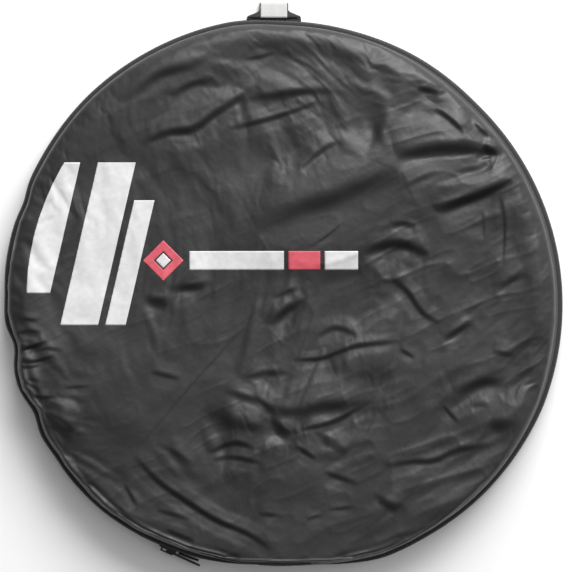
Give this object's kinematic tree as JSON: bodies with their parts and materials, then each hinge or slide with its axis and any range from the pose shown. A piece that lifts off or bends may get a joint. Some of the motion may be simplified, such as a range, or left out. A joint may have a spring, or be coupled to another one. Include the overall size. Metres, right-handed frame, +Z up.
{
  "type": "collapsible reflector disc",
  "caption": "Collapsible photographic reflector disc, coiled inside its round zip pouch; the front opens as a flap so the folded disc slides out.",
  "frame": {"origin": "centre of the round back panel's underside, where the pouch lies on a table", "axes": "+Z up through the front panel, +Y towards the hanging loop, +X to the right seen from above"},
  "size_m": [0.388, 0.3945, 0.0366],
  "materials": {
    "nylon": "satin coated taffeta",
    "webbing": "matt woven tape",
    "zip_tape": "matt knitted tape",
    "zip_teeth": "moulded nylon coil",
    "zip_metal": "black enamel",
    "label_satin": "soft white satin",
    "white_print": "screen print",
    "coral_print": "screen print",
    "spring_steel": "blued strip",
    "silver_cloth": "crinkled metallic",
    "white_cloth": "matt white"
  },
  "bodies": {
    "pouch_back": {"back_panel": "nylon", "back_binding": "webbing", "lower_zip_tape": "zip_tape", "lower_zip_chain": "zip_teeth", "zip_end_left": "zip_tape", "zip_end_right": "zip_tape", "zip_bottom_stop": "zip_metal", "zip_top_stop_lower": "zip_metal", "zip_top_stop_upper": "zip_metal", "zip_end_tab_left": "webbing", "zip_end_tab_right": "webbing", "bottom_gusset": "nylon", "front_panel_hem": "nylon", "hem_piping_left": "webbing", "hem_piping_right": "webbing"},
    "loop": {"hang_loop": "webbing", "loop_label": "label_satin"},
    "front_flap": {"front_panel": "nylon", "front_piping": "webbing", "upper_zip_tape": "zip_tape", "upper_zip_chain": "zip_teeth", "print_bar_1": "white_print", "print_bar_2": "white_print", "print_bar_3": "white_print", "print_diamond": "coral_print", "print_diamond_core": "white_print", "print_rule_long": "white_print", "print_rule_accent": "coral_print", "print_rule_short": "white_print"},
    "slider": {"zip_slider": "zip_metal"},
    "pull": {"zip_pull": "zip_metal"},
    "folded_reflector": {"ring_edging": "webbing", "spring_steel_ring": "spring_steel", "ring_ferrule": "spring_steel", "silver_face": "silver_cloth", "white_face": "white_cloth"}
  },
  "joints": [
    {"name": "flap_hinge", "type": "hinge", "parent": "pouch_back", "child": "front_flap", "pos_m": [0, -0.171, 0.036], "axis": [1, 0, 0], "range_deg": [0, 150]},
    {"name": "loop_flop", "type": "hinge", "parent": "pouch_back", "child": "loop", "pos_m": [-0.006, 0.19415, 0.003], "axis": [1, 0, 0], "range_deg": [0, 70]},
    {"name": "slider_run", "type": "hinge", "parent": "pouch_back", "child": "slider", "pos_m": [0, 0, 0.008], "axis": [0, 0, -1], "range_deg": [0, 311.2]},
    {"name": "pull_swing", "type": "hinge", "parent": "slider", "child": "pull", "pos_m": [-0.08049, -0.17745, 0.008], "axis": [0, 0, -1], "range_deg": [0, 180]},
    {"name": "reflector_slide", "type": "slide", "parent": "pouch_back", "child": "folded_reflector", "axis": [0, 0.9969, 0.0785], "range_m": [0, 0.41]}
  ],
  "couplings": [
    {"joint": "reflector_slide", "follows": "flap_hinge", "m_per_rad": 0.153}
  ]
}
